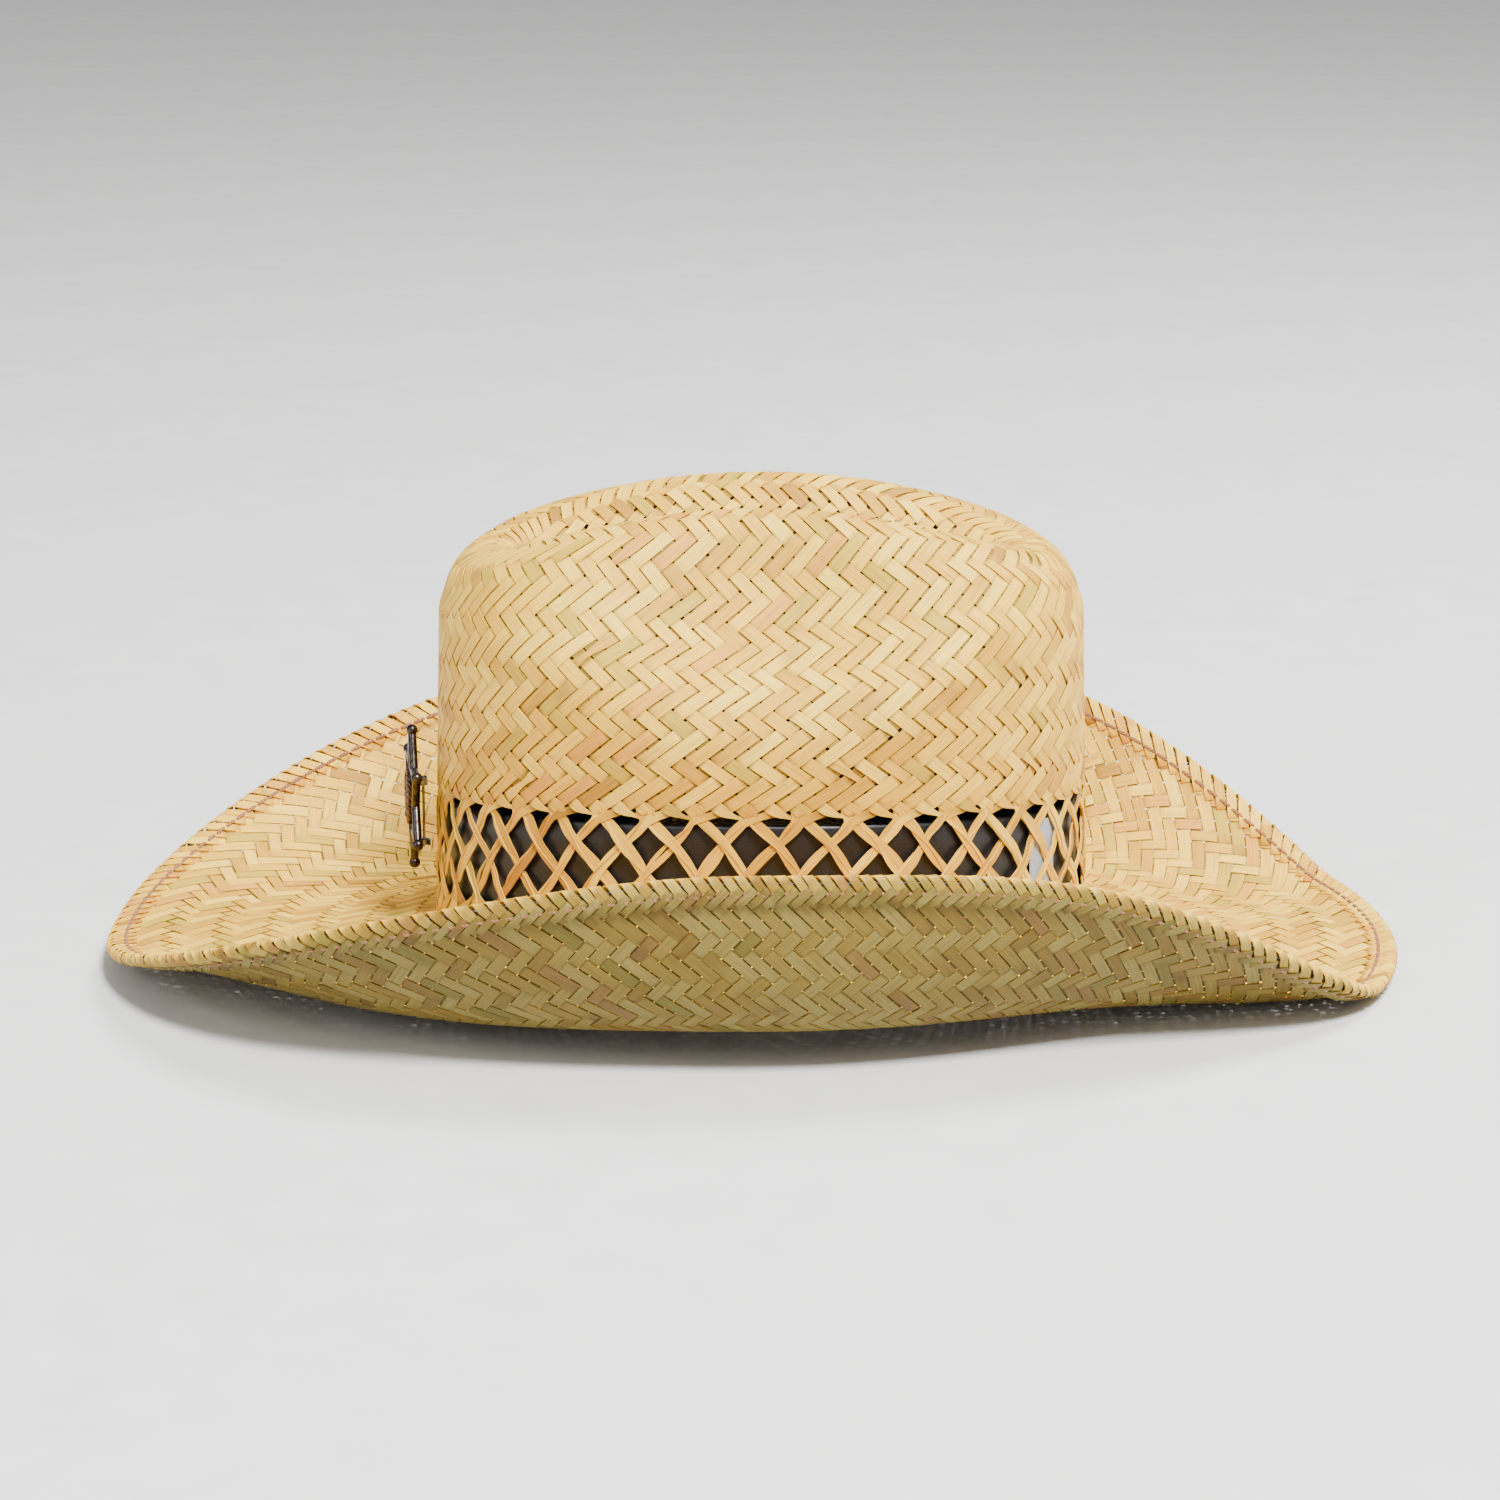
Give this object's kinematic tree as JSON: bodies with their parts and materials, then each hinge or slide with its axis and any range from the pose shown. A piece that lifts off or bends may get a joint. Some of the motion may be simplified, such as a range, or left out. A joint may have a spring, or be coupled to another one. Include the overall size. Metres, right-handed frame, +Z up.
{
  "type": "cowboy hat",
  "caption": "Woven straw cowboy hat with a creased crown, an open vent band, a rolled brim, a dark sweatband and a pinned star badge.",
  "frame": {"origin": "below the middle of the hat, on the surface that the brim rests on", "axes": "+Z up through the crown, -Y towards the front of the hat and its badge, +X towards one side"},
  "size_m": [0.2994, 0.4068, 0.1481],
  "materials": {
    "straw": "close woven natural straw",
    "straw_hem": "folded woven straw",
    "thread": "brown sewing thread",
    "dark_thread": "black thread and tape",
    "sweatband": "smooth dark band, satin",
    "label": "plain woven label",
    "red_tab": "plain woven tab",
    "wire": "drawn wire",
    "ferrule": "crimped tube",
    "gunmetal": "polished dark plating",
    "bronze": "antiqued bronze",
    "badge_back": "pressed and plated"
  },
  "bodies": {
    "hat": {"straw_crown": "straw", "vent_band": "straw", "straw_brim": "straw", "brim_hem": "straw_hem", "brim_wire": "wire", "wire_ferrule": "ferrule", "hem_top_thread": "thread", "hem_under_thread": "thread", "sweatband": "sweatband", "sweatband_thread": "dark_thread", "sweatband_seam_tape": "dark_thread", "size_label": "label", "seam_tab": "red_tab", "badge_star": "gunmetal", "badge_face": "bronze", "pin_hinge_bracket": "badge_back", "pin_rivet": "badge_back", "pin_stem": "wire", "catch_body": "badge_back"},
    "catch_roller": {"catch_roller": "badge_back"}
  },
  "joints": [
    {"name": "catch_turn", "type": "hinge", "parent": "hat", "child": "catch_roller", "pos_m": [-0.00044, -0.10369, 0.03445], "axis": [0, 0, -1], "range_deg": [0, 90]}
  ]
}
